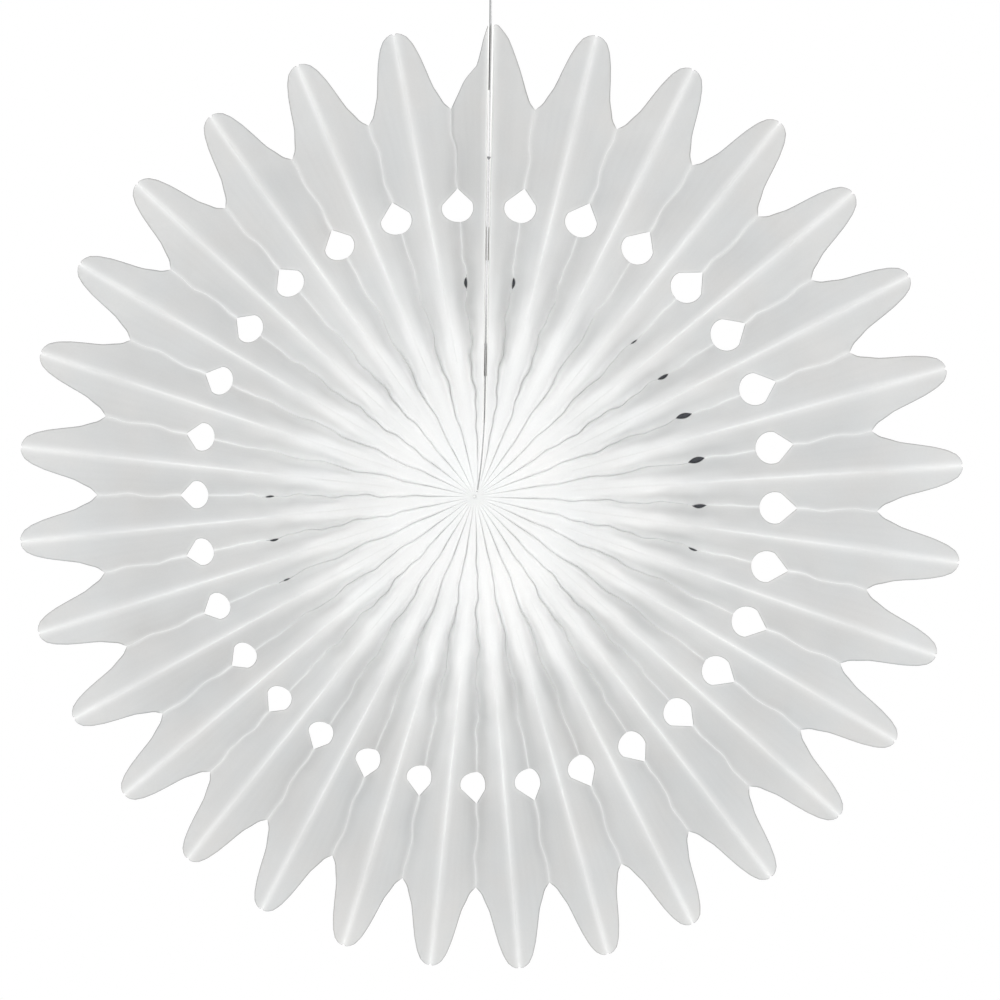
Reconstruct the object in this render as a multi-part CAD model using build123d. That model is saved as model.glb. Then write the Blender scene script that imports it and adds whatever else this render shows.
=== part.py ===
"""Pleated tissue-paper fan that opens round into a sunburst and hangs from a thread.

The fan is a stack of equal die-cut tissue leaves, glued to each other along their front and back
edges in turn. One stiff card closes each end of the stack. A thread binds the leaves at the hub,
runs up the seam between the two cards and ends in a loop, from which the open fan hangs.

Frame: origin in the top of the hanging loop, +Z up, +X to the right, and -Y towards the viewer.
Everything is in millimetres. Angles about the hub run clockwise from the seam, seen from the front.
"""
from build123d import *
from math import acos, cos, degrees, exp, pi, radians, sin, sqrt, tan
import os

# The open fan
fan_radius = 317.5  # hub to petal tip, half of a 25 inch fan
petal_count = 31  # the petal at the seam is two halves
leaf_width = 32.0  # front edge to back edge of a flat leaf
notch_radius = 264.5  # where two petals part
hub_opening_radius = 4.5  # inner ends of the leaves
end_leaf_inner_radius = 9.0  # shorter, to leave the thread a way to the hub
sideways_lean = 11.43  # the ring of petal tips sits this far to the right of the hub
lean_power = 0.6  # the lean grows fastest beside the hub
seam_lean = 7.1  # of the seam, where the end cards begin
seam_lean_power = 0.45
seam_reach = 0.35  # radians, how far round from the seam its extra lean spreads
openness = 0.0675  # pleats stand further apart at the top than at the bottom
openness_skew = 0.0129
openness_turn = 0.0087  # radians, clockwise, of every pleat but the one at the seam
tip_depth = 14.0  # front to back at the petal tips, where the pleat has flattened most

# Tissue
tissue_thickness = 0.24  # of the solid that stands for one leaf
glue_gap = 0.12  # between two petals along a back edge

# Cut-outs on each back edge
teardrop_inner_radius = 184.7
teardrop_apex_radius = 205.5
teardrop_share = 0.50  # of the leaf's width
teardrop_round_radius = 8.6
slit_radius = 144.6
slit_half_length = 5.6
slit_share = 0.12

# End cards
card_thickness = 0.5
card_inner_radius = 50.0
card_to_leaf = 0.1
seam_half_gap_inner = 0.75
seam_half_gap_outer = 1.2
hub_spread_share = 0.62  # of half a pleat, taken by an end leaf's front edge beside the hub

# Adhesive tabs that join the two cards
tab_radii = {"inner": 92.0, "outer": 170.0}
tab_length = 22.0
tab_width = 12.0
tab_clearance = 0.05  # left of the right-hand card

# Thread
thread_diameter = 0.9
binding_radius = 3.6
hang_rise = 45.0  # petal tip to the top of the hanging loop
loop_height = 20.0
loop_half_width = 4.5
hang_knot_radius = 1.5
tie_knot_radius = 1.3
tie_radius = 227.0  # of the knot in the seam
tie_depth = -12.4  # of the knot, in front of the cards' front edges
tail_end_radius = 273.0
thread_sideways = 0.3
spin_clearance = 0.15  # between the hanging knot and the thread below, which turns under it

hub_x = -sideways_lean
hub_z = -hang_rise - fan_radius
half_pleat = pi / petal_count * (1 + openness)
end_leaf_offset = seam_half_gap_inner + card_thickness + card_to_leaf  # from the seam's middle
seam_bend_radius = end_leaf_offset / (hub_spread_share * half_pleat)
leaf_station_radii = (9, 14, seam_bend_radius, 34, card_inner_radius, 75, 110, 150, 190, 230)


def clockwise(leaf_edge):
    """Angle of a ridge (whole number) or valley (half number), spread by the fan's openness."""
    turn = 2 * pi * leaf_edge / petal_count
    return turn + openness * sin(turn) + openness_skew * (1 - cos(turn)) + openness_turn


def seam_line(radius):
    """Lean of the seam: straight along the end cards, and curved between them and the hub."""
    if radius < card_inner_radius:
        return seam_lean * (radius / card_inner_radius) ** seam_lean_power
    along = (radius - card_inner_radius) / (fan_radius - card_inner_radius)
    return seam_lean + (sideways_lean - seam_lean) * along


def lean_at(radius, angle):
    """How far the open fan's lean carries a point to the right, most of all beside the seam."""
    everywhere = sideways_lean * (radius / fan_radius) ** lean_power
    beside_seam = exp((cos(angle) - 1) / seam_reach**2)
    return everywhere + beside_seam * (seam_line(radius) - everywhere)


def place(radius, angle, depth=0.0):
    """Point of the open fan at a distance and a clockwise angle from the hub."""
    x = hub_x + lean_at(radius, angle) + radius * sin(angle)
    z = hub_z + radius * cos(angle)
    return Vector(x, depth, z)


def pleat_depth(across):
    """Front-to-back depth left of a leaf's width, after the leaf spans across between its edges."""
    return sqrt(max(leaf_width**2 - across**2, tip_depth**2))


def seam_half_gap(radius):
    """Half of the gap between the two cards."""
    return seam_half_gap_inner + (seam_half_gap_outer - seam_half_gap_inner) * radius / fan_radius


def seam_offset(radius):
    """How far an end leaf's front edge stands off the seam, outside its card."""
    beside_hub = hub_spread_share * radius * half_pleat
    return min(beside_hub, seam_half_gap(radius) + card_thickness + card_to_leaf)


def ridge_line(number, side):
    """Angle of a front edge as a function of radius: straight, or beside the card at the seam."""
    if number == 0:
        return lambda radius: side * seam_offset(radius) / radius
    return lambda radius: clockwise(number)


def leaf_section(radius, share, ridge, valley):
    """Section of one leaf at a radius, a sliver from the front at the ridge towards the back."""
    ridge_point = place(radius, ridge(radius))
    valley_point = place(radius, valley)
    across = valley_point - ridge_point
    depth = pleat_depth(across.length)
    slant = tissue_thickness * sqrt(across.length**2 + depth**2) / across.length
    slant = min(slant, depth / 2)
    far_share = share * (1 - glue_gap / 2 / across.length)
    far_point = ridge_point + across * far_share
    near_y = -depth / 2
    far_y = near_y + far_share * (depth - slant)
    return (
        Vector(ridge_point.X, near_y, ridge_point.Z),
        Vector(far_point.X, far_y, far_point.Z),
        Vector(far_point.X, far_y + slant, far_point.Z),
        Vector(ridge_point.X, near_y + slant, ridge_point.Z),
    )


def petal_end():
    """The petal's edge from the notch to its tip, as (radius, share of the leaf's width)."""
    return (
        (notch_radius, 1.0),
        (fan_radius - 47.0, 0.80),
        (fan_radius - 38.0, 0.65),
        (fan_radius - 26.0, 0.53),
        (fan_radius - 12.0, 0.38),
        (fan_radius - 5.5, 0.30),
        (fan_radius, 0.08),
    )


def flat_face(*corners):
    return Face(Wire.make_polygon(corners, close=True))


def leaf_blank(ridge, valley, inner_radius):
    """A leaf with no holes. It twists from section to section, so each broad side is folded flats."""
    stations = [(inner_radius, 1.0)]
    stations.extend((radius, 1.0) for radius in leaf_station_radii if radius > inner_radius)
    stations.extend(petal_end())
    sections = [leaf_section(radius, share, ridge, valley) for radius, share in stations]
    faces = [flat_face(*sections[0]), flat_face(*sections[-1])]
    for inner, outer in zip(sections, sections[1:]):
        for near, far in ((0, 1), (3, 2)):
            faces.append(flat_face(inner[near], inner[far], outer[far]))
            faces.append(flat_face(inner[near], outer[far], outer[near]))
        for front, back in ((0, 3), (1, 2)):
            faces.append(flat_face(inner[front], inner[back], outer[back], outer[front]))
    return Solid(Shell(faces))


def teardrop_hole(valley):
    """Teardrop cut across a back edge, with its point outward."""
    middle_radius = teardrop_inner_radius + teardrop_round_radius
    middle = place(middle_radius, valley, -leaf_width)
    apex = place(teardrop_apex_radius, valley, -leaf_width)
    outward = apex - middle
    tangent_turn = degrees(acos(teardrop_round_radius / outward.length))
    side = outward.normalized() * teardrop_round_radius
    left = middle + side.rotate(Axis.Y, tangent_turn)
    right = middle + side.rotate(Axis.Y, -tangent_turn)
    inner = middle - side
    edges = [Line(apex, left), ThreePointArc(left, inner, right), Line(right, apex)]
    return Solid.extrude(Face(Wire(edges)), Vector(0, 2 * leaf_width, 0))


def slit_hole(valley):
    """Small diamond cut across a back edge, nearer the hub."""
    half_width = slit_share * slit_radius * half_pleat
    middle = place(slit_radius, valley, -leaf_width)
    outward = Vector(sin(valley), 0, cos(valley))
    across = Vector(cos(valley), 0, -sin(valley))
    corners = (
        middle + outward * slit_half_length,
        middle + across * half_width,
        middle - outward * slit_half_length,
        middle - across * half_width,
    )
    face = Face(Wire.make_polygon(corners, close=True))
    return Solid.extrude(face, Vector(0, 2 * leaf_width, 0))


def tissue_leaf(ridge, valley, inner_radius=hub_opening_radius):
    """One leaf with its die-cut holes."""
    leaf = leaf_blank(ridge, valley, inner_radius)
    leaf = leaf.cut(teardrop_hole(valley), slit_hole(valley))
    return max(leaf.solids(), key=lambda solid: solid.volume)


def tissue_petal(number):
    """Two leaves glued along their front edges."""
    leaves = []
    for side in (-1, 1):
        leaves.append(tissue_leaf(ridge_line(number, side), clockwise(number + side / 2)))
    return Compound(children=leaves)


def end_leaf(side):
    """The tissue leaf next to an end card, half of the petal at the seam."""
    return tissue_leaf(ridge_line(0, side), clockwise(side / 2), end_leaf_inner_radius)


def seam_frame(side):
    """Plane of a card's inner face: local X runs front to back, local Y from the hub to the tip."""
    inner = place(card_inner_radius, 0) + Vector(side * seam_half_gap(card_inner_radius), 0, 0)
    outer = place(fan_radius, 0) + Vector(side * seam_half_gap(fan_radius), 0, 0)
    up = (outer - inner).normalized()
    origin = inner - up * card_inner_radius
    return Plane(origin=origin, x_dir=Vector(0, 1, 0), z_dir=Vector(0, 1, 0).cross(up))


def card_mark(radius, share):
    """Point of the card's outline. The card leans back a little, as the ridge beside it does."""
    lean = (leaf_width - tip_depth) / 2 * radius / fan_radius
    return Vector(-leaf_width / 2 + lean + share * leaf_width, radius)


def teardrop_edge():
    """Half of a teardrop in the flat card's back edge, from its outer point to its inner end."""
    length = teardrop_apex_radius - teardrop_inner_radius
    return (
        (teardrop_apex_radius, 1.0),
        (teardrop_apex_radius - 0.26 * length, 1 - 0.56 * teardrop_share),
        (teardrop_apex_radius - 0.62 * length, 1 - teardrop_share),
        (teardrop_inner_radius + 0.10 * length, 1 - 0.74 * teardrop_share),
        (teardrop_inner_radius, 1.0),
    )


def end_card(side):
    """Stiff card with the leaf's die-cut outline, standing in the seam."""
    tip = [card_mark(radius, share) for radius, share in reversed(petal_end())]
    edges = [Line(card_mark(card_inner_radius, 0), card_mark(fan_radius, 0))]
    edges.append(Line(card_mark(fan_radius, 0), tip[0]))
    edges.append(Spline(tip))
    edges.append(Line(card_mark(notch_radius, 1), card_mark(teardrop_apex_radius, 1)))
    edges.append(Spline([card_mark(radius, share) for radius, share in teardrop_edge()]))
    back_edge = (
        card_mark(teardrop_inner_radius, 1),
        card_mark(slit_radius + slit_half_length, 1),
        card_mark(slit_radius, 1 - slit_share),
        card_mark(slit_radius - slit_half_length, 1),
        card_mark(card_inner_radius, 1),
        card_mark(card_inner_radius, 0),
    )
    edges.extend(Polyline(*back_edge).edges())
    face = seam_frame(side) * Face(Wire(edges))
    return Solid.extrude(face, Vector(side * card_thickness, 0, 0))


def adhesive_tab(radius):
    """Double-sided tab on the left card, where it holds the right card once the fan is open."""
    middle = place(radius, 0, leaf_width / 4)
    along = place(radius + tab_length, 0, leaf_width / 4) - middle
    plane = Plane(origin=middle, x_dir=(0, 1, 0), z_dir=Vector(0, 1, 0).cross(along))
    return plane * Box(tab_width, tab_length, 2 * (seam_half_gap(radius) - tab_clearance))


def thread_tube(points):
    """Thread along a route of straight runs joined by arcs as large as the runs allow."""
    radii = []
    for before, corner, after in zip(points, points[1:], points[2:]):
        arriving = corner - before
        leaving = after - corner
        half_turn = radians(arriving.get_angle(leaving)) / 2
        shorter = min(arriving.length, leaving.length)
        radii.append(0.45 * shorter / tan(half_turn))
    route = FilletPolyline(*points, radius=radii) if radii else Line(*points)
    start = Plane(origin=points[0], z_dir=points[1] - points[0])
    tube = sweep(start * Circle(thread_diameter / 2), path=route)
    expected = pi * thread_diameter**2 / 4 * route.length
    print("thread", round(route.length, 1), "mm, radii", [round(r) for r in radii], "volume share",
          round(tube.volume / expected, 4))
    return tube


def seam_mark(radius, depth, sideways=0.0):
    """Point in the seam."""
    return place(radius, 0, depth) + Vector(sideways, 0, 0)


def hanging_thread():
    """Thread pulled tight by the fan's weight, from the knot in the seam up to the hanging knot."""
    top = Vector(thread_sideways, 0, -loop_height - hang_knot_radius * 2 - spin_clearance)
    return thread_tube([seam_mark(tie_radius + tie_knot_radius, tie_depth, thread_sideways), top])


def thread_tail(sideways, depth):
    """Cut end of the thread, which hangs from the hanging knot into the seam."""
    top = Vector(sideways, depth, -loop_height - hang_knot_radius * 2 - spin_clearance)
    bend = seam_mark(fan_radius + 4, depth - 0.8, 1.3 * sideways)
    entry = seam_mark(fan_radius - 16, depth - 0.4, sideways)
    end = seam_mark(tail_end_radius, depth - 0.9, sideways)
    return thread_tube([top, bend, entry, end])


def seam_strand(side):
    """One of the two strands that run down the seam from the tie knot to the hub's binding."""
    route = [
        seam_mark(tie_radius - tie_knot_radius, tie_depth + side * 0.5, side * 0.2),
        seam_mark(190, tie_depth - 0.5 + side * 0.6, side * 0.3),
        seam_mark(150, tie_depth - 0.9 + side * 0.6, 0),
        seam_mark(108, tie_depth + 0.2 + side * 0.6, -side * 0.2),
        seam_mark(66, tie_depth + 4.0 + side * 0.7, 0),
        seam_mark(48, tie_depth + 6.2 + side * 0.7, 0),
        seam_mark(28, tie_depth + 8.5 + side * 0.7, 0),
        seam_mark(14, tie_depth + 10.6 + side * 0.7, 0),
        seam_mark(binding_radius + thread_diameter, side * 0.8, 0),
    ]
    return thread_tube(route)


def binding_ring():
    """Thread ring that gathers the inner ends of the leaves."""
    middle_x = hub_x + lean_at(hub_opening_radius, pi / 2)
    plane = Plane(origin=(middle_x, 0, hub_z), z_dir=(0, 1, 0))
    return Solid.make_torus(binding_radius, thread_diameter / 2, plane)


def round_knot(centre, radius):
    """Small round knot."""
    return Pos(*centre) * Sphere(radius)


def hanging_loop(knot):
    """Loop of thread above the hanging knot."""
    centre_top = thread_diameter / 2
    foot = -loop_height - hang_knot_radius
    route = [
        Vector(-0.5, 0, foot),
        Vector(-loop_half_width, 0, -loop_height * 0.45),
        Vector(-loop_half_width * 0.75, 0, centre_top),
        Vector(loop_half_width * 0.75, 0, centre_top),
        Vector(loop_half_width, 0, -loop_height * 0.45),
        Vector(0.5, 0, foot),
    ]
    return thread_tube(route) - knot


def write(name, shape):
    """One STEP file per named piece."""
    shape.label = name
    export_step(shape, f"parts/{name}.step")


def main():
    os.makedirs("parts", exist_ok=True)
    for number in range(1, petal_count):
        write(f"tissue_petal_{number:02d}", tissue_petal(number))
    for side, word in ((-1, "left"), (1, "right")):
        write(f"end_leaf_{word}", end_leaf(side))
        write(f"end_card_{word}", end_card(side))
        write(f"seam_strand_{word}", seam_strand(side))
    for word, radius in tab_radii.items():
        write(f"adhesive_tab_{word}", adhesive_tab(radius))
    write("hub_binding_thread", binding_ring())
    tie_centre = seam_mark(tie_radius, tie_depth)
    write("tie_knot", round_knot(tie_centre, tie_knot_radius))
    write("hanging_thread", hanging_thread())
    write("thread_tail_left", thread_tail(-0.55, 1.6))
    write("thread_tail_right", thread_tail(0.1, 3.0))
    knot = round_knot((0, 0, -loop_height - hang_knot_radius), hang_knot_radius)
    write("hanging_knot", knot)
    write("hanging_loop", hanging_loop(knot))


main()
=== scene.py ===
"""Looks of the pleated tissue-paper fan: tissue petals, end cards, adhesive tabs, threads and knots.

Metres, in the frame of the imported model: origin in the top of the hanging loop, +Z up, -Y towards
the viewer. Angles about the hub run clockwise from the seam, seen from the front.
"""
import bmesh
import bpy
import numpy as np
from math import cos, pi, radians, sin
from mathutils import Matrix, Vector


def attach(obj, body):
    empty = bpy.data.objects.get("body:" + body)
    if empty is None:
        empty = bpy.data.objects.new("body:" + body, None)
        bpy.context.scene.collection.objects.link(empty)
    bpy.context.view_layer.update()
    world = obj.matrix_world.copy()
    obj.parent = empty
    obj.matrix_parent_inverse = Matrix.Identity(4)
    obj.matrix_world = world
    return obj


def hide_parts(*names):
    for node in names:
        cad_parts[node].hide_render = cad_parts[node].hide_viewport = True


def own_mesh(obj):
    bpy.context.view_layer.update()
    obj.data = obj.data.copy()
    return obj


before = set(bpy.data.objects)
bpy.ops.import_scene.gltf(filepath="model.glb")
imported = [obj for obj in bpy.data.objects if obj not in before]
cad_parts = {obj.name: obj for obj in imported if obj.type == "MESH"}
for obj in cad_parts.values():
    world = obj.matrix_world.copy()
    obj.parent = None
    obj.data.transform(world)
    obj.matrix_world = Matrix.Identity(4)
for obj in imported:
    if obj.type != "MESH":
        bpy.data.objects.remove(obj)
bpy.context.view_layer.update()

# The open fan, as in the design
FAN_RADIUS = 0.3175
PETAL_COUNT = 31  # the one that the seam splits included
LEAF_WIDTH = 0.032
NOTCH_RADIUS = 0.2645
HUB_OPENING_RADIUS = 0.0045
END_LEAF_INNER_RADIUS = 0.009
SIDEWAYS_LEAN = 0.01143  # to the right, at the rim
LEAN_POWER = 0.6
SEAM_LEAN = 0.0071  # at the inner end of the cards
SEAM_LEAN_POWER = 0.45
SEAM_REACH = 0.35  # spread of the seam's own lean about it, in radians
OPENNESS = 0.0675  # how much wider the pleats stand open at the seam than on average
OPENNESS_SKEW = 0.0129
OPENNESS_TURN = 0.0087
TIP_DEPTH = 0.014
GLUE_GAP = 0.00012  # between two leaves at a valley
TEARDROP_INNER_RADIUS = 0.1847
TEARDROP_APEX_RADIUS = 0.2055
TEARDROP_ROUND_SHARE = 0.41  # radius of the round end, as a share of the length
SLIT_RADIUS = 0.1446
SLIT_HALF_LENGTH = 0.0056
CARD_THICKNESS = 0.0005
CARD_INNER_RADIUS = 0.050
CARD_TO_LEAF = 0.0001
SEAM_HALF_GAP_INNER = 0.00075
SEAM_HALF_GAP_OUTER = 0.0012
HUB_SPREAD_SHARE = 0.62
HANG_RISE = 0.045
LOOP_HEIGHT = 0.020
LOOP_HALF_WIDTH = 0.0045
HANG_KNOT_RADIUS = 0.0015
TIE_KNOT_RADIUS = 0.0013
TIE_RADIUS = 0.227
TIE_DEPTH = -0.0124
TAIL_END_RADIUS = 0.273
THREAD_DIAMETER = 0.0009
THREAD_SIDEWAYS = 0.0003
SPIN_CLEARANCE = 0.00015
BINDING_RADIUS = 0.0036

HUB_X = -SIDEWAYS_LEAN
HUB_Z = -HANG_RISE - FAN_RADIUS
HALF_PLEAT = pi / PETAL_COUNT * (1 + OPENNESS)
HANG_KNOT_FOOT = -LOOP_HEIGHT - HANG_KNOT_RADIUS * 2 - SPIN_CLEARANCE

# What the camera sees
VIEW_CENTRE = Vector((0.00605, 0, -0.36485))
VIEW_WIDTH = 0.6717
CAMERA_DISTANCE = 6.0
SENSOR_WIDTH = 36.0

# Name, place from the middle of the view, size and power
LIGHTS = (
    ("left_front", (-0.95, -0.80, 0.10), 0.7, 4.0),
    ("right_front", (0.95, -0.80, 0.10), 0.7, 4.0),
    ("top_front", (0.0, -1.2, 1.1), 0.9, 2.6),
    ("low_front", (0.0, -1.2, -0.40), 0.4, 3.6),
)
FLOOR_HEIGHT = -1.0
FLOOR_HALF_SIZE = 5.0

# Looks of the tissue
TISSUE_THICKNESS = 0.00012
DARKEST_TISSUE = 0.42  # reflectance where the tone is 0
WHITEST_TISSUE = 0.98  # reflectance where the tone is 1
TISSUE_GLOW = 0.5  # share of the light that comes through
RIDGE_END_RADIUS = 0.0007  # where the front ridges end at the hub
CREASE_SPAN = 0.03
# Whiteness by radius, matched to the photograph's brightness: part of it may be light and not tissue
WALL_RADII = (0.020, 0.085, 0.115, 0.145, 0.175, 0.215, 0.260)
WALL_WHITENESS = (0.86, 0.80, 0.84, 0.83, 0.785, 0.735, 0.70)
CREST_RADII = (0.020, 0.050, 0.130, 0.175, 0.215, 0.260)
CREST_WHITENESS = (0.83, 0.85, 0.86, 0.87, 0.84, 0.79)

# Outline of half a petal: millimetres from the notch, stretched to fit each one, and share of the
# leaf's width. The two leaves at the seam (side -1 and 1) are cut differently from the rest (0).
OUTLINES = {
    0: (
        (0.0, 1.0), (4.2, 0.84), (9.5, 0.75), (15.0, 0.65), (20.5, 0.59), (27.0, 0.53),
        (36.4, 0.44), (44.5, 0.34), (49.5, 0.24), (51.6, 0.15), (53.0, 0.04),
    ),
    -1: (
        (0.0, 1.0), (9.5, 0.77), (16.5, 0.62), (19.7, 0.52), (22.6, 0.41), (26.1, 0.28),
        (30.0, 0.23), (36.0, 0.17), (42.2, 0.12), (50.3, 0.03), (53.0, 0.01),
    ),
    1: (
        (0.0, 1.0), (4.2, 0.86), (11.5, 0.745), (23.4, 0.59), (37.0, 0.40),
        (43.7, 0.30), (48.0, 0.20), (51.6, 0.10), (53.0, 0.02),
    ),
}


def clockwise(leaf_edge):
    """Angle of a ridge (whole number) or valley (half number)."""
    turn = 2 * pi * leaf_edge / PETAL_COUNT
    return turn + OPENNESS * sin(turn) + OPENNESS_SKEW * (1 - cos(turn)) + OPENNESS_TURN


def seam_line(radius):
    """How far the seam leans to the right at a radius."""
    inner = SEAM_LEAN * (np.minimum(radius, CARD_INNER_RADIUS) / CARD_INNER_RADIUS) ** SEAM_LEAN_POWER
    along = np.maximum(radius - CARD_INNER_RADIUS, 0) / (FAN_RADIUS - CARD_INNER_RADIUS)
    return inner + (SIDEWAYS_LEAN - SEAM_LEAN) * along


def lean_at(radius, angle):
    """How far the open fan's lean carries a point to the right."""
    everywhere = SIDEWAYS_LEAN * (radius / FAN_RADIUS) ** LEAN_POWER
    beside_seam = np.exp((np.cos(angle) - 1) / SEAM_REACH**2)
    return everywhere + beside_seam * (seam_line(radius) - everywhere)


def place(radius, angle, depth=0.0):
    """Points of the open fan, as an array whose last axis is X, Y, Z."""
    radius, angle, depth = np.broadcast_arrays(
        np.asarray(radius, float), np.asarray(angle, float), np.asarray(depth, float)
    )
    x = HUB_X + lean_at(radius, angle) + radius * np.sin(angle)
    z = HUB_Z + radius * np.cos(angle)
    return np.stack([x, depth, z], axis=-1)


def smooth_step(low, high, value):
    """0 below low, 1 above high, and smooth between them."""
    share = np.clip((value - low) / (high - low), 0, 1)
    return share * share * (3 - 2 * share)


def bump_at(value, middle, reach):
    """A smooth bump of height 1 at middle."""
    return np.exp(-(((value - middle) / reach) ** 2))


# ---------------------------------------------------------------- camera, light and floor
def add_camera():
    """Square to the fan and far away."""
    data = bpy.data.cameras.new("camera")
    data.sensor_width = SENSOR_WIDTH
    data.lens = SENSOR_WIDTH * CAMERA_DISTANCE / VIEW_WIDTH
    data.clip_end = 50
    camera = bpy.data.objects.new("camera", data)
    bpy.context.scene.collection.objects.link(camera)
    camera.location = VIEW_CENTRE - Vector((0, CAMERA_DISTANCE, 0))
    camera.rotation_euler = (radians(90), 0, 0)
    bpy.context.scene.camera = camera


def add_area_light(name, offset, size, power):
    """Soft light that faces the middle of the view."""
    data = bpy.data.lights.new(name, "AREA")
    data.shape = "DISK"
    data.size = size
    data.energy = power
    light = bpy.data.objects.new(name, data)
    bpy.context.scene.collection.objects.link(light)
    light.location = VIEW_CENTRE + Vector(offset)
    light.rotation_euler = (-Vector(offset)).to_track_quat("-Z", "Y").to_euler()


def add_world():
    """White all round, as in a light tent."""
    world = bpy.data.worlds.new("white_tent")
    world.use_nodes = True
    background = world.node_tree.nodes["Background"]
    background.inputs["Color"].default_value = (1, 1, 1, 1)
    background.inputs["Strength"].default_value = 1.0
    bpy.context.scene.world = world
    bpy.context.scene.view_settings.view_transform = "Standard"
    bpy.context.scene.cycles.max_bounces = 24
    bpy.context.scene.cycles.diffuse_bounces = 16
    bpy.context.scene.cycles.transmission_bounces = 16


def add_floor():
    """Plain pale floor below the hanging fan."""
    half = FLOOR_HALF_SIZE
    corners = [(-half, -half, 0), (half, -half, 0), (half, half, 0), (-half, half, 0)]
    mesh = bpy.data.meshes.new("floor")
    mesh.from_pydata(corners, [], [(0, 1, 2, 3)])
    floor = bpy.data.objects.new("floor", mesh)
    floor.location.z = FLOOR_HEIGHT
    bpy.context.scene.collection.objects.link(floor)
    mesh.materials.append(plain_material("floor", (0.86, 0.86, 0.85), 0.9))


# ---------------------------------------------------------------- materials
def plain_material(name, colour, roughness):
    """Material with its Principled node set up and nothing linked."""
    material = bpy.data.materials.new(name)
    material.use_nodes = True
    shader = material.node_tree.nodes["Principled BSDF"]
    shader.inputs["Base Color"].default_value = (*colour, 1)
    shader.inputs["Roughness"].default_value = roughness
    return material


def add_node(material, kind, **settings):
    """New node, with its properties and its inputs' values set by name."""
    node = material.node_tree.nodes.new(kind)
    for name, value in settings.items():
        if name in node.inputs:
            node.inputs[name].default_value = value
        else:
            setattr(node, name, value)
    return node


def join(material, source, target):
    """Link an output socket to an input socket."""
    material.node_tree.links.new(source, target)


def mix_colours(material, share, first, second, blend_type="MIX"):
    """Mix node between two colours or colour sockets, and its result."""
    node = add_node(material, "ShaderNodeMix", data_type="RGBA", blend_type=blend_type)
    for socket, value in ((node.inputs[0], share), (node.inputs[6], first), (node.inputs[7], second)):
        if isinstance(value, (float, int)):
            socket.default_value = value
        elif isinstance(value, tuple):
            socket.default_value = (*value, 1)
        else:
            join(material, value, socket)
    return node.outputs[2]


def grain(material, vector, scale, low, high, detail=3.0):
    """Grey noise between low and high, for multiplying a colour by."""
    noise = add_node(material, "ShaderNodeTexNoise", Scale=scale, Detail=detail)
    join(material, vector, noise.inputs["Vector"])
    spread = add_node(material, "ShaderNodeMapRange")
    spread.inputs["From Min"].default_value = 0.3
    spread.inputs["From Max"].default_value = 0.7
    spread.inputs["To Min"].default_value = low
    spread.inputs["To Max"].default_value = high
    join(material, noise.outputs["Fac"], spread.inputs["Value"])
    return spread.outputs["Result"]


def along_leaf(material, radial_scale, across_scale):
    """Texture coordinates along and across a leaf, from the mesh's own attributes."""
    combine = add_node(material, "ShaderNodeCombineXYZ")
    for index, (name, scale) in enumerate((("radial", radial_scale), ("across", across_scale))):
        attribute = add_node(material, "ShaderNodeAttribute", attribute_name=name)
        stretch = add_node(material, "ShaderNodeMath", operation="MULTIPLY")
        stretch.inputs[1].default_value = scale
        join(material, attribute.outputs["Fac"], stretch.inputs[0])
        join(material, stretch.outputs[0], combine.inputs[index])
    return combine.outputs[0]


def add_bump(material, height, strength, distance):
    """Fine relief on the surface."""
    shader = material.node_tree.nodes["Principled BSDF"]
    bump = add_node(material, "ShaderNodeBump", Strength=strength, Distance=distance)
    join(material, height, bump.inputs["Height"])
    join(material, bump.outputs["Normal"], shader.inputs["Normal"])


def tissue_colour(material, place_in_space):
    """Grey to white by the leaf's tone, with a faint tint, clouds, fibres and creases."""
    tone = add_node(material, "ShaderNodeAttribute", attribute_name="tone")
    warm = tuple(DARKEST_TISSUE * tint for tint in (1.015, 1.0, 0.980))
    cool = tuple(DARKEST_TISSUE * tint for tint in (0.970, 1.005, 1.020))
    thin = mix_colours(material, grain(material, place_in_space, 24.0, 0.0, 1.0), warm, cool)
    backed = tuple(WHITEST_TISSUE * tint for tint in (0.997, 1.0, 0.999))
    # The tone picks between these greys and whites and also carries painted highlights, painted light
    # and painted shade
    colour = mix_colours(material, tone.outputs["Fac"], thin, backed)
    cloud = grain(material, place_in_space, 16.0, 0.965, 1.0)
    fibre = grain(material, place_in_space, 700.0, 0.98, 1.0, detail=5.0)
    crease = grain(material, along_leaf(material, 9.0, 260.0), 1.0, 0.98, 1.0)
    for layer in (cloud, fibre, crease):
        colour = mix_colours(material, 1.0, colour, layer, "MULTIPLY")
    return colour


def tissue_material():
    """White tissue that lets part of the light through."""
    material = plain_material("white_tissue", (0.8, 0.8, 0.8), 0.82)
    shader = material.node_tree.nodes["Principled BSDF"]
    shader.inputs["Specular IOR Level"].default_value = 0.25
    place_in_space = add_node(material, "ShaderNodeTexCoord").outputs["Object"]
    colour = tissue_colour(material, place_in_space)
    join(material, colour, shader.inputs["Base Color"])
    relief = grain(material, place_in_space, 420.0, 0.0, 1.0, detail=5.0)
    add_bump(material, relief, 0.18, 0.0002)
    glow = add_node(material, "ShaderNodeBsdfTranslucent")
    join(material, colour, glow.inputs["Color"])
    mix = add_node(material, "ShaderNodeMixShader", Fac=TISSUE_GLOW)
    join(material, shader.outputs["BSDF"], mix.inputs[1])
    join(material, glow.outputs["BSDF"], mix.inputs[2])
    output = material.node_tree.nodes["Material Output"]
    join(material, mix.outputs[0], output.inputs["Surface"])
    return material


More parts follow.
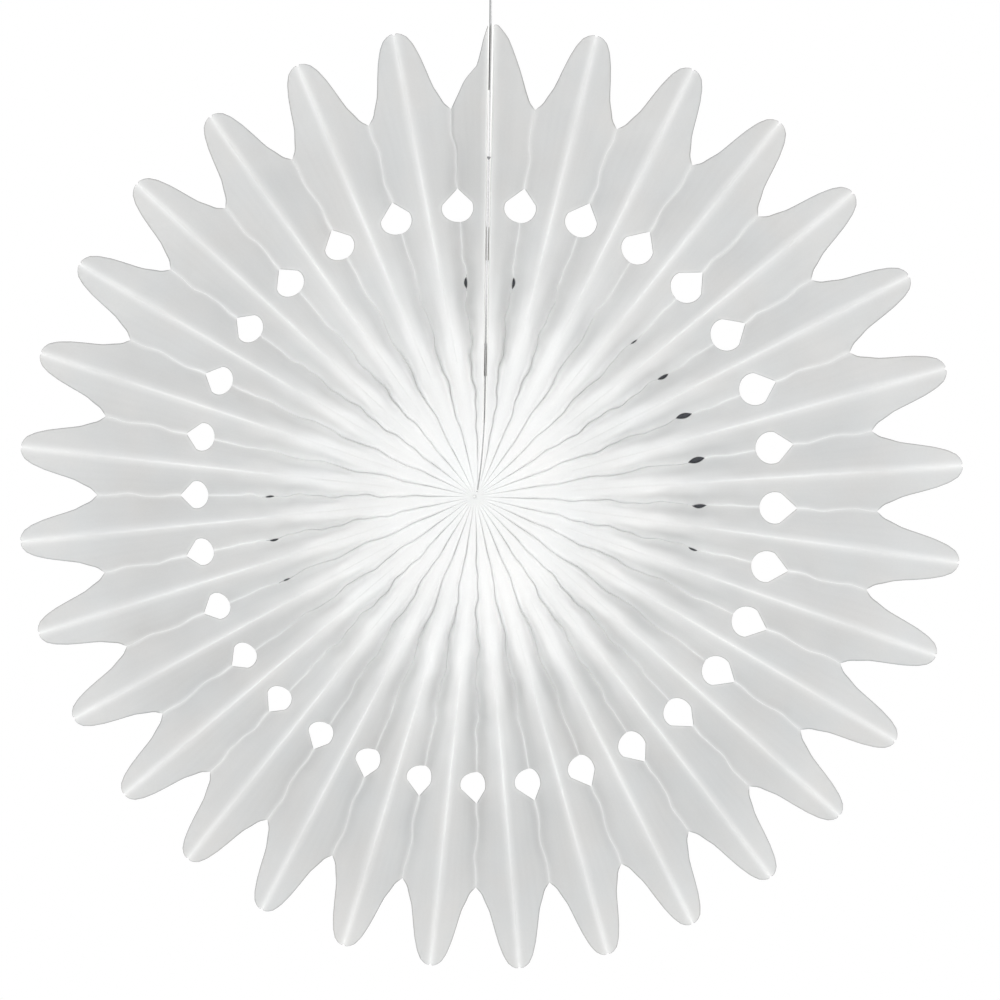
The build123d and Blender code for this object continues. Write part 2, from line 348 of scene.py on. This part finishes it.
def grained_material(name, colour, roughness, scale, contrast, bump_distance):
    """Opaque material with a fine grain in its colour and its surface."""
    material = plain_material(name, colour, roughness)
    shader = material.node_tree.nodes["Principled BSDF"]
    place_in_space = add_node(material, "ShaderNodeTexCoord").outputs["Object"]
    speck = grain(material, place_in_space, scale, 1 - contrast, 1 + contrast, detail=5.0)
    tinted = mix_colours(material, 1.0, colour, speck, "MULTIPLY")
    join(material, tinted, shader.inputs["Base Color"])
    add_bump(material, speck, 0.3, bump_distance)
    return material


# ---------------------------------------------------------------- threads
def seam_mark(radius, depth, sideways=0.0):
    """Point in the seam, or beside it."""
    return place(radius, 0.0, depth) + np.array((sideways, 0, 0))


def thread_curve(name, points, node, body, material, thickness=THREAD_DIAMETER, closed=False):
    """Round thread along a smooth line that follows its route's points."""
    data = bpy.data.curves.new(name, "CURVE")
    data.dimensions = "3D"
    data.bevel_depth = thickness / 2
    data.bevel_resolution = 3
    data.resolution_u = 10
    spline = data.splines.new("NURBS")
    spline.points.add(len(points) - 1)
    for point, where in zip(spline.points, points):
        point.co = (*(float(value) for value in where), 1)
    spline.order_u = 3
    spline.use_endpoint_u = not closed
    spline.use_cyclic_u = closed
    data.use_fill_caps = not closed
    data.materials.append(material)
    piece = bpy.data.objects.new(name, data)
    bpy.context.scene.collection.objects.link(piece)
    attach(piece, body)
    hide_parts(node)
    return piece


def add_knot(name, centre, radius, node, body, material):
    """Small tight overhand knot, drawn as a trefoil of thread."""
    wrap_radius = radius * 0.36
    scale = (radius - wrap_radius) / 3  # a trefoil of scale 1 reaches 3 from its middle
    steps = 36
    points = []
    for step in range(steps):
        turn = 2 * pi * step / steps
        points.append(
            (
                centre[0] + scale * (sin(turn) + 2 * sin(2 * turn)),
                centre[1] - scale * 1.6 * sin(3 * turn),
                centre[2] + scale * (cos(turn) - 2 * cos(2 * turn)),
            )
        )
    return thread_curve(name, points, node, body, material, 2 * wrap_radius, closed=True)


def add_binding(material):
    """Thread wound three times at the inner ends of the leaves."""
    turns = 3
    steps = 20
    middle_x = HUB_X + float(lean_at(HUB_OPENING_RADIUS, pi / 2))
    points = []
    for step in range(turns * steps + 1):
        turn = 2 * pi * step / steps
        rise = (step / (turns * steps) - 0.5) * THREAD_DIAMETER * 1.6
        points.append((middle_x + BINDING_RADIUS * sin(turn), rise, HUB_Z + BINDING_RADIUS * cos(turn)))
    thickness = THREAD_DIAMETER * 0.56
    return thread_curve("hub_binding", points, "hub_binding_thread", "fan", material, thickness)


def add_hanger(material):
    """Knot and loop that the fan hangs by."""
    foot = -LOOP_HEIGHT - HANG_KNOT_RADIUS
    centre = (0, 0, foot)
    knot = add_knot("knot_of_loop", centre, HANG_KNOT_RADIUS, "hanging_knot", "hanger", material)
    route = [
        (-0.0005, 0, foot),
        (-LOOP_HALF_WIDTH, 0, -LOOP_HEIGHT * 0.45),
        (-LOOP_HALF_WIDTH * 0.75, 0, THREAD_DIAMETER / 2),
        (LOOP_HALF_WIDTH * 0.75, 0, THREAD_DIAMETER / 2),
        (LOOP_HALF_WIDTH, 0, -LOOP_HEIGHT * 0.45),
        (0.0005, 0, foot),
    ]
    loop = thread_curve("loop_of_thread", route, "hanging_loop", "hanger", material)
    return knot, loop


def add_hanging_thread(material):
    """Taut thread from the knot in the seam up to the hanging knot."""
    start = seam_mark(TIE_RADIUS + TIE_KNOT_RADIUS, TIE_DEPTH, THREAD_SIDEWAYS)
    top = (THREAD_SIDEWAYS, 0, HANG_KNOT_FOOT)
    hanging = thread_curve("taut_thread", [start, top], "hanging_thread", "fan", material)


def add_tail(word, sideways, depth, material):
    """Cut end of the thread, from the hanging knot down into the seam."""
    route = [
        (sideways, depth, HANG_KNOT_FOOT),
        seam_mark(FAN_RADIUS + 0.004, depth - 0.0008, 1.3 * sideways),
        seam_mark(FAN_RADIUS - 0.016, depth - 0.0004, sideways),
        seam_mark(TAIL_END_RADIUS, depth - 0.0009, sideways),
    ]
    tail = thread_curve(f"cut_end_{word}", route, f"thread_tail_{word}", "fan", material)


def add_strand(word, side, material):
    """One of the two strands from the knot in the seam down to the binding at the hub."""
    route = [
        seam_mark(TIE_RADIUS - TIE_KNOT_RADIUS, TIE_DEPTH + side * 0.0005, side * 0.0002),
        seam_mark(0.190, TIE_DEPTH - 0.0005 + side * 0.0006, side * 0.0003),
        seam_mark(0.150, TIE_DEPTH - 0.0009 + side * 0.0006, 0),
        seam_mark(0.108, TIE_DEPTH + 0.0002 + side * 0.0006, -side * 0.0002),
        seam_mark(0.066, TIE_DEPTH + 0.0040 + side * 0.0007, 0),
        seam_mark(0.048, TIE_DEPTH + 0.0062 + side * 0.0007, 0),
        seam_mark(0.028, TIE_DEPTH + 0.0085 + side * 0.0007, 0),
        seam_mark(0.014, TIE_DEPTH + 0.0106 + side * 0.0007, 0),
        seam_mark(BINDING_RADIUS + THREAD_DIAMETER, side * 0.0008, 0),
    ]
    strand = thread_curve(f"strand_{word}", route, f"seam_strand_{word}", "fan", material)


def add_threads(material, pale):
    """Every thread and knot, along the design's routes; those that catch the light get a pale copy of
    the thread, which is painted light.
    """
    hang_knot, loop = add_hanger(material)
    tie_centre = seam_mark(TIE_RADIUS, TIE_DEPTH)
    add_knot("knot_in_seam", tie_centre, TIE_KNOT_RADIUS, "tie_knot", "fan", material)
    add_hanging_thread(pale)
    add_tail("left", -0.00055, 0.0016, material)
    add_tail("right", 0.0001, 0.0030, pale)
    for word, side in (("left", -1), ("right", 1)):
        add_strand(word, side, pale)


# ---------------------------------------------------------------- tissue leaves
def seam_offset(radius):
    """How far an end leaf's front edge stands off the seam, outside its card."""
    half_gap = SEAM_HALF_GAP_INNER + (SEAM_HALF_GAP_OUTER - SEAM_HALF_GAP_INNER) * radius / FAN_RADIUS
    beside_card = half_gap + CARD_THICKNESS + CARD_TO_LEAF
    return np.minimum(HUB_SPREAD_SHARE * radius * HALF_PLEAT, beside_card)


def notch_radius(valley):
    """Radius of the notch between two petals, deepest on the right of the fan."""
    return NOTCH_RADIUS - 0.0021 - 0.0013 * sin(valley) - 0.0006 * cos(valley)


def petal_outline(radius, end_side, notch):
    """Share of the leaf's width at a radius, from the notch to the tip; end_side is 0 for a petal."""
    marks, shares = zip(*OUTLINES[end_side])
    return np.interp((radius - notch) / (FAN_RADIUS - notch) * marks[-1], marks, shares)


def teardrop_ends(valley):
    """Inner and outer radius of the teardrop on a valley, longest on the right of the fan."""
    inner = TEARDROP_INNER_RADIUS + 0.0008 - 0.0016 * sin(valley)
    apex = TEARDROP_APEX_RADIUS + 0.0022 + 0.0012 * sin(valley) + 0.0008 * cos(valley)
    return inner, apex


def teardrop_half_width(radius, valley, side):
    """Half width of the teardrop at a radius, on the side that belongs to this leaf."""
    if side > 0:
        widest = 0.0096 + 0.0022 * cos(valley) + 0.0008 * sin(valley)
        widest -= 0.0016 * max(0, -cos(valley)) ** 4
    else:
        widest = 0.0103 - 0.0010 * cos(valley + 0.7)
    inner, apex = teardrop_ends(valley)
    along = (radius - inner) / (apex - inner)
    round_share = TEARDROP_ROUND_SHARE
    switch = 0.55  # share of the length where the straight sides start
    round_end = np.sqrt(np.clip(1 - ((along - round_share) / round_share) ** 2, 0, 1))
    height = np.sqrt(1 - ((switch - round_share) / round_share) ** 2)
    point = height * (1 - along) / (1 - switch)
    shape = np.where(along < switch, round_end, point)
    return widest * np.clip(np.where((along < 0) | (along > 1), 0, shape), 0, 1)


def slit_size(valley):
    """How far the small slit on a valley stands open, from 0 to 1."""
    degrees_round = (valley / pi * 180) % 360
    right = bump_at(degrees_round, 76, 26)
    left = 0.36 * bump_at(degrees_round, 262, 20)
    seam = 0.5 * (bump_at(degrees_round, 6.5, 4) + bump_at(degrees_round, 354, 4))
    size = right + left + seam
    return float(size) if size > 0.16 else 0.0


def slit_half_width(radius, valley):
    """Half width of the slit at a radius."""
    size = slit_size(valley)
    along = (radius - SLIT_RADIUS) / (SLIT_HALF_LENGTH * (0.35 + 0.65 * size) + 1e-9)
    return 0.0019 * size * np.clip(1 - along**2, 0, 1)


def valley_wave(radius, number):
    """Sideways wander of a valley's glue line, the same for both leaves that share it."""
    seed = 1.7 * number
    fine = np.sin(radius * 2 * pi / 0.0165 + 3.1 * sin(seed * 2.3)) * (0.6 + 0.4 * sin(seed))
    broad = np.sin(radius * 2 * pi / 0.041 + 5.0 * sin(seed * 1.1 + 0.4))
    inner = smooth_step(0.020, 0.055, radius) * (1 - smooth_step(0.150, 0.184, radius))
    outer = smooth_step(0.206, 0.222, radius) * (1 - smooth_step(0.245, 0.2645, radius))
    wander = inner * (0.0006 * fine + 0.0010 * broad) + outer * (0.0003 * fine + 0.0012 * broad)
    return wander * np.minimum(1, radius / 0.08)


def leaf_rows(valley):
    """Radii of a leaf's mesh rows, close together where the outline turns."""
    inner, apex = teardrop_ends(valley)
    round_end = (apex - inner) * TEARDROP_ROUND_SHARE
    round_rows = inner + round_end * (1 - np.cos(np.linspace(0, pi / 2, 10)))
    return np.concatenate(
        [
            np.geomspace(HUB_OPENING_RADIUS, 0.030, 14),
            np.arange(0.032, 0.138, 0.002),
            np.arange(SLIT_RADIUS - SLIT_HALF_LENGTH, SLIT_RADIUS + SLIT_HALF_LENGTH + 1e-6, 0.0008),
            np.linspace(0.152, inner - 0.001, 16),
            round_rows,
            np.linspace(round_rows[-1], apex, 14)[1:],
            np.linspace(apex + 0.002, notch_radius(valley) - 0.0015, 20),
            np.linspace(notch_radius(valley), 0.3130, 29),
            np.linspace(0.3135, FAN_RADIUS, 9),
        ]
    )


def leaf_columns():
    """Shares of a leaf's cut width where its columns lie, close together at the ridge and the edge."""
    return np.concatenate([[0.0, 0.045], np.linspace(0, 0.9, 10)[2:], [0.955, 0.99, 1.0]])


def pleat_profile(radius, share):
    """Depth across a leaf, from 0 at the front ridge to 1 at the back valley.

    Near the hub the pleats are open only a little way down. The part behind that, where the leaves
    lie together, starts at a share of 0.99, and a leaf's edge falls short of that close to the hub,
    so a leaf has its full depth only from about 130 mm outwards.
    """
    power = 2.2 + 4.0 * (1 - smooth_step(0.06, 0.14, radius))
    open_share = 0.6 * radius * HALF_PLEAT / LEAF_WIDTH
    open_share = open_share + (1 - open_share) * smooth_step(0.060, 0.140, radius)
    pressed_together = np.clip((share - 0.99) / 0.01, 0, 1)
    rounded = open_share * share**power + (1 - open_share) * pressed_together
    soft = 0.05
    sharp = 1 - (np.sqrt((1 - share) ** 2 + soft**2) - soft) / (np.sqrt(1 + soft**2) - soft)
    outer = smooth_step(0.100, 0.185, radius)
    return rounded * (1 - outer) + sharp * outer


def leaf_tone(radius, share, edge, angle, seed):
    """Tone of the tissue: low on the walls near the rim, high at the ridges, glue lines and hub.
    Besides the tissue's own greys and whites it holds painted highlights, painted light and painted
    shade.
    """
    # Wall of the leaf, and the bright band along its front ridge: the glued edge, brightened further by
    # a painted highlight
    wander = radius + 0.006 * np.sin(seed * 1.9 + 3 * share)
    wall = np.interp(wander, WALL_RADII, WALL_WHITENESS)
    crest = np.interp(radius, CREST_RADII, CREST_WHITENESS)
    reach = np.interp(radius, [0.07, 0.115, 0.150, 0.260], [0.50, 0.34, 0.17, 0.09])
    # Painted shade: the ridge's band is darker at the left and right of the fan, where the pleats face
    # up and down
    sideways = 0.05 * sin(angle) ** 2 * bump_at(radius, 0.085, 0.05)
    white = wall + (crest - sideways - wall) * bump_at(share, 0, reach)
    # Fine white lines: a painted highlight along the front fold, the glue line along the valley
    # whitened with painted light, and the pale rim at the outer end of the teardrop
    fold_highlight = 0.05 * bump_at(share, 0, 0.03) * smooth_step(0.14, 0.18, radius)
    valley = 0.08 * bump_at(share, 1, 0.05) * smooth_step(0.13, 0.16, radius)
    pale_rim = 0.06 * bump_at(radius, TEARDROP_APEX_RADIUS, 0.012) * bump_at(share, edge, 0.10)
    # Whiter towards the valley over the glued back half, with painted light that lifts the shade of the
    # grooves; painted shade in pockets beside the valleys; and the thin grey line along a cut
    painted_lift = np.interp(radius, [0.035, 0.085, 0.12, 0.150, 0.195], [0.03, 0.16, 0.15, 0.09, 0.0])
    painted_lift = painted_lift * smooth_step(0.55, 0.92, share)
    # Painted shade in the pockets beside the valleys
    pocket_shade = bump_at(radius, 0.136 + 0.010 * sin(seed), 0.018) * bump_at(share, 0.70, 0.22)
    pocket_shade = 0.05 * pocket_shade * (0.6 + 0.4 * sin(seed * 2.9))
    cut = 0.42 * bump_at(share, edge, 0.013) * (edge < 0.985)
    white = white + fold_highlight + valley + pale_rim + painted_lift - pocket_shade
    return np.clip((white - cut - DARKEST_TISSUE) / (WHITEST_TISSUE - DARKEST_TISSUE), 0, 1)


def leaf_edge(number, side, radius, across, valley):
    """Share of a leaf's width that its outline, its holes and the glue gap leave."""
    notch = notch_radius(valley)
    outline = petal_outline(radius, side if number == 0 else 0, notch)
    hole = teardrop_half_width(radius, valley, side) + slit_half_width(radius, valley)
    return np.minimum(outline, 1 - hole / across) - GLUE_GAP / 2 / across * (radius < notch)


def radius_of_points(radius, share, across):
    """Radius of a leaf's points: its inner end runs on into the hub, and its tip dips at the ridge."""
    inner_pull = (HUB_OPENING_RADIUS - RIDGE_END_RADIUS) * (1 - smooth_step(0.985, 0.998, share))
    near_hub = np.clip(1 - (radius - radius[0]) / 0.014, 0, 1) ** 2
    dip = 0.0016 * bump_at(share * across, 0, 0.0011) * smooth_step(0.3120, FAN_RADIUS, radius)
    return radius - inner_pull * near_hub - dip


def depth_of_points(radius, share, across, seed):
    """Depth of a leaf's points behind the middle of the fan, with a faint ripple."""
    depth_range = np.sqrt(np.maximum(LEAF_WIDTH**2 - across**2, TIP_DEPTH**2))
    depth = depth_range * (pleat_profile(radius, share) - 0.5)
    ripple = 0.0009 * np.sin(radius * 2 * pi / 0.031 + 4 * sin(seed)) * np.sin(pi * share) ** 2
    ripple = ripple * smooth_step(0.05, 0.09, radius) * (1 - smooth_step(0.17, 0.24, radius))
    return depth + ripple


def leaf_grid(number, side, rows, valley):
    """Positions and attributes of one leaf's grid, ridge column first."""
    radius = rows[:, None]
    ridge = side * seam_offset(radius) / radius if number == 0 else clockwise(number)
    wave = valley_wave(radius, (number + side / 2) % PETAL_COUNT) / radius
    across = radius * np.abs(valley - ridge)
    edge = leaf_edge(number, side, radius, across, valley)
    share = leaf_columns()[None, :] * edge
    seed = 2.1 * number + 0.9 * side
    angle = ridge + (valley - ridge) * share + wave * share**2
    depth = depth_of_points(radius, share, across, seed)
    points = place(radius_of_points(radius, share, across), angle, depth)
    tone = leaf_tone(radius, share, edge, valley, seed)
    return points, tone, np.broadcast_to(radius, share.shape), share * side * CREASE_SPAN


def grid_faces(row_count, column_count, flip):
    """Quads of a grid of points, row by row."""
    faces = []
    for row in range(row_count - 1):
        for column in range(column_count - 1):
            corner = row * column_count + column
            face = (corner, corner + 1, corner + column_count + 1, corner + column_count)
            faces.append(face[::-1] if flip else face)
    return faces


def slit_shadow_lens(valley, wave_number):
    """Painted shadow: a dark lens just behind an open slit, where two leaves part at their glued edge,
    standing for the shade seen through it.
    """
    radius = SLIT_RADIUS + np.linspace(-1, 1, 13) * SLIT_HALF_LENGTH
    half = slit_half_width(radius, valley) * 1.12 + 0.00006
    angle = valley + valley_wave(radius, wave_number) / radius
    half_pleat_width = radius * HALF_PLEAT
    depth = np.sqrt(LEAF_WIDTH**2 - half_pleat_width**2) / 2 + 0.0002
    edges = [place(radius, angle + side * half / radius, depth) for side in (-1, 1)]
    points = np.stack(edges, axis=1).reshape(-1, 3)
    return points, grid_faces(len(radius), 2, flip=False)


def leaf_parts(number, side):
    """Grid of one leaf as (points, faces, material index, attributes), and its open slit's shade."""
    valley = clockwise(number + side / 2)
    rows = leaf_rows(valley)
    if number == 0:
        rows = np.concatenate([[END_LEAF_INNER_RADIUS], rows[rows > END_LEAF_INNER_RADIUS]])
    points, tone, radial, across = leaf_grid(number, side, rows, valley)
    faces = grid_faces(len(rows), points.shape[1], flip=side < 0)
    parts = [(points.reshape(-1, 3), faces, 0, (tone.ravel(), radial.ravel(), across.ravel()))]
    if side > 0 and slit_size(valley):
        lens, lens_faces = slit_shadow_lens(valley, (number + side / 2) % PETAL_COUNT)
        parts.append((lens, lens_faces, 1, (np.zeros(len(lens)),) * 3))
    return parts


def gather(leaves):
    """Points, faces, material indices and attribute values of every part of the leaves."""
    points = []
    faces = []
    kinds = []
    layers = ([], [], [])
    for part_points, part_faces, kind, values in (part for leaf in leaves for part in leaf):
        first = len(points)
        points.extend(tuple(point) for point in part_points)
        faces.extend(tuple(first + corner for corner in face) for face in part_faces)
        kinds.extend([kind] * len(part_faces))
        for layer, value in zip(layers, values):
            layer.extend(value)
    return points, faces, kinds, layers


def tissue_mesh(name, leaves, materials):
    """Mesh object of one or two leaves, with smooth faces and the attributes its material reads."""
    points, faces, kinds, layers = gather(leaves)
    mesh = bpy.data.meshes.new(name)
    mesh.from_pydata(points, [], faces)
    for key, values in zip(("tone", "radial", "across"), layers):
        attribute = mesh.attributes.new(key, "FLOAT", "POINT")
        attribute.data.foreach_set("value", np.asarray(values, np.float32))
    mesh.polygons.foreach_set("use_smooth", [True] * len(mesh.polygons))
    for material in materials:
        mesh.materials.append(material)
    mesh.polygons.foreach_set("material_index", kinds)
    mesh.update()
    weld_ridge(mesh)
    piece = bpy.data.objects.new(name, mesh)
    bpy.context.scene.collection.objects.link(piece)
    solid = piece.modifiers.new("thickness", "SOLIDIFY")
    solid.thickness = TISSUE_THICKNESS
    solid.offset = 0
    return piece


def weld_ridge(mesh):
    """Join the two leaves along the points that they share."""
    shape = bmesh.new()
    shape.from_mesh(mesh)
    bmesh.ops.remove_doubles(shape, verts=shape.verts, dist=0.000004)
    shape.to_mesh(mesh)
    shape.free()


def add_petal(number, materials):
    """Two leaves glued along their front edges, as one sheet."""
    leaves = [leaf_parts(number, side) for side in (-1, 1)]
    piece = tissue_mesh(f"petal_{number:02d}", leaves, materials)
    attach(piece, f"petal_{number:02d}")
    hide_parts(f"tissue_petal_{number:02d}")
    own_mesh(piece)


def add_end_leaf(side, materials):
    """Half of the petal at the seam, next to its card."""
    word = "left" if side < 0 else "right"
    piece = tissue_mesh(f"leaf_at_card_{word}", [leaf_parts(0, side)], materials)
    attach(piece, "fan" if side < 0 else "right_end")
    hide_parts(f"end_leaf_{word}")
    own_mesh(piece)


def finish_cad_nodes():
    """Materials of the CAD parts whose shape stays as it is."""
    card = grained_material("white_card", (0.80, 0.80, 0.78), 0.7, 500.0, 0.03, 0.0001)
    tab = grained_material("adhesive_film", (0.74, 0.73, 0.69), 0.35, 160.0, 0.04, 0.00005)
    for name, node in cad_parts.items():
        for start, material in (("end_card", card), ("adhesive_tab", tab)):
            if name.startswith(start):
                node.data.materials.clear()
                node.data.materials.append(material)


def main():
    """Build the scene."""
    add_world()
    add_camera()
    for light in LIGHTS:
        add_area_light(*light)
    add_floor()
    thread = grained_material("grey_thread", (0.20, 0.205, 0.21), 0.45, 1500.0, 0.20, 0.00008)
    # Paler copy of the same thread: painted light, for the strands that catch it
    pale = grained_material("thread_painted_lit", (0.50, 0.50, 0.505), 0.45, 1500.0, 0.20, 0.00008)
    add_threads(thread, pale)
    add_binding(thread)
    # Dark facing that stands for the shade inside the open slits: painted shadow
    shade = grained_material("slit_shade", (0.055, 0.058, 0.066), 0.9, 900.0, 0.10, 0.00005)
    tissue = (tissue_material(), shade)
    for number in range(1, PETAL_COUNT):
        add_petal(number, tissue)
    for side in (-1, 1):
        add_end_leaf(side, tissue)
    finish_cad_nodes()
    bpy.context.view_layer.update()


main()
